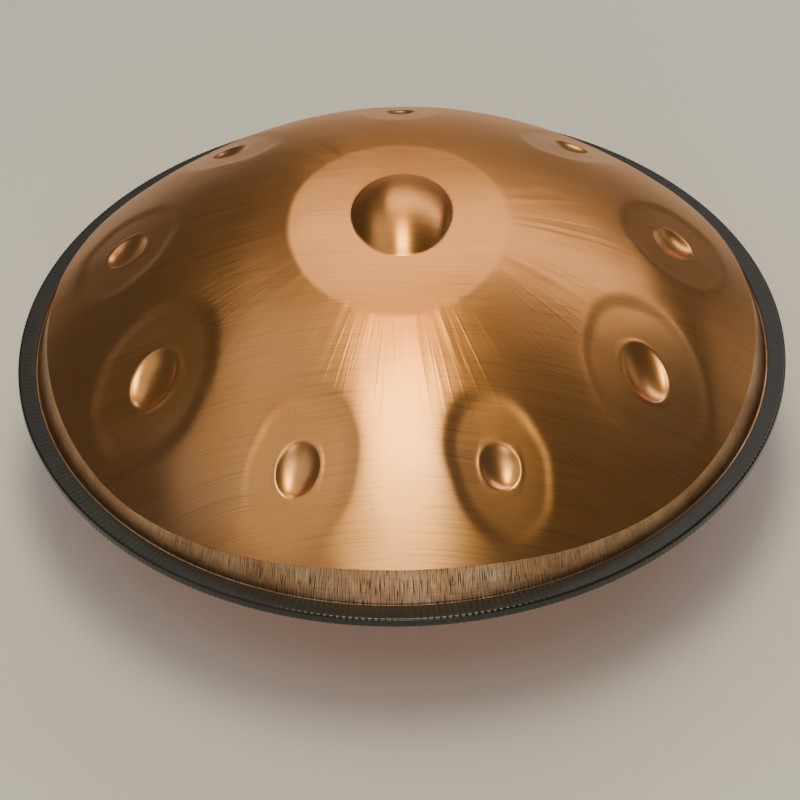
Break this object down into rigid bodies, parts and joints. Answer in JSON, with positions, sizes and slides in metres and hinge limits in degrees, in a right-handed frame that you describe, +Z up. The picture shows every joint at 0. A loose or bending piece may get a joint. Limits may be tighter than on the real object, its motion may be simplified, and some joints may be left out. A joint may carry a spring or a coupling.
{
  "type": "handpan",
  "caption": "Lens-shaped steel hand drum: brushed upper shell with a raised centre note and a ring of dimpled tone fields, ported lower shell, ribbed rubber edge trim.",
  "frame": {"origin": "on the pan's axis, at the level of the flat seat round the port, the lowest face", "axes": "+Z up from the port to the centre note; -Y towards the player, so that the two nearest tone fields are left and right of it; +X to the player's right"},
  "size_m": [0.5359, 0.536, 0.2313],
  "materials": {
    "upper_shell_steel": "heat-coloured bronze steel, brushed from side to side",
    "lower_shell_steel": "heat-coloured bronze steel, brushed from side to side",
    "rim_glue": "cured two-part epoxy",
    "trim_rubber": "matt black, fine cross ribs",
    "trim_core_steel": "bare strip steel"
  },
  "bodies": {
    "root": {"top_shell": "upper_shell_steel", "bottom_shell": "lower_shell_steel", "adhesive_ring": "rim_glue", "rim_trim": "trim_rubber", "rim_trim_core": "trim_core_steel"}
  },
  "joints": []
}
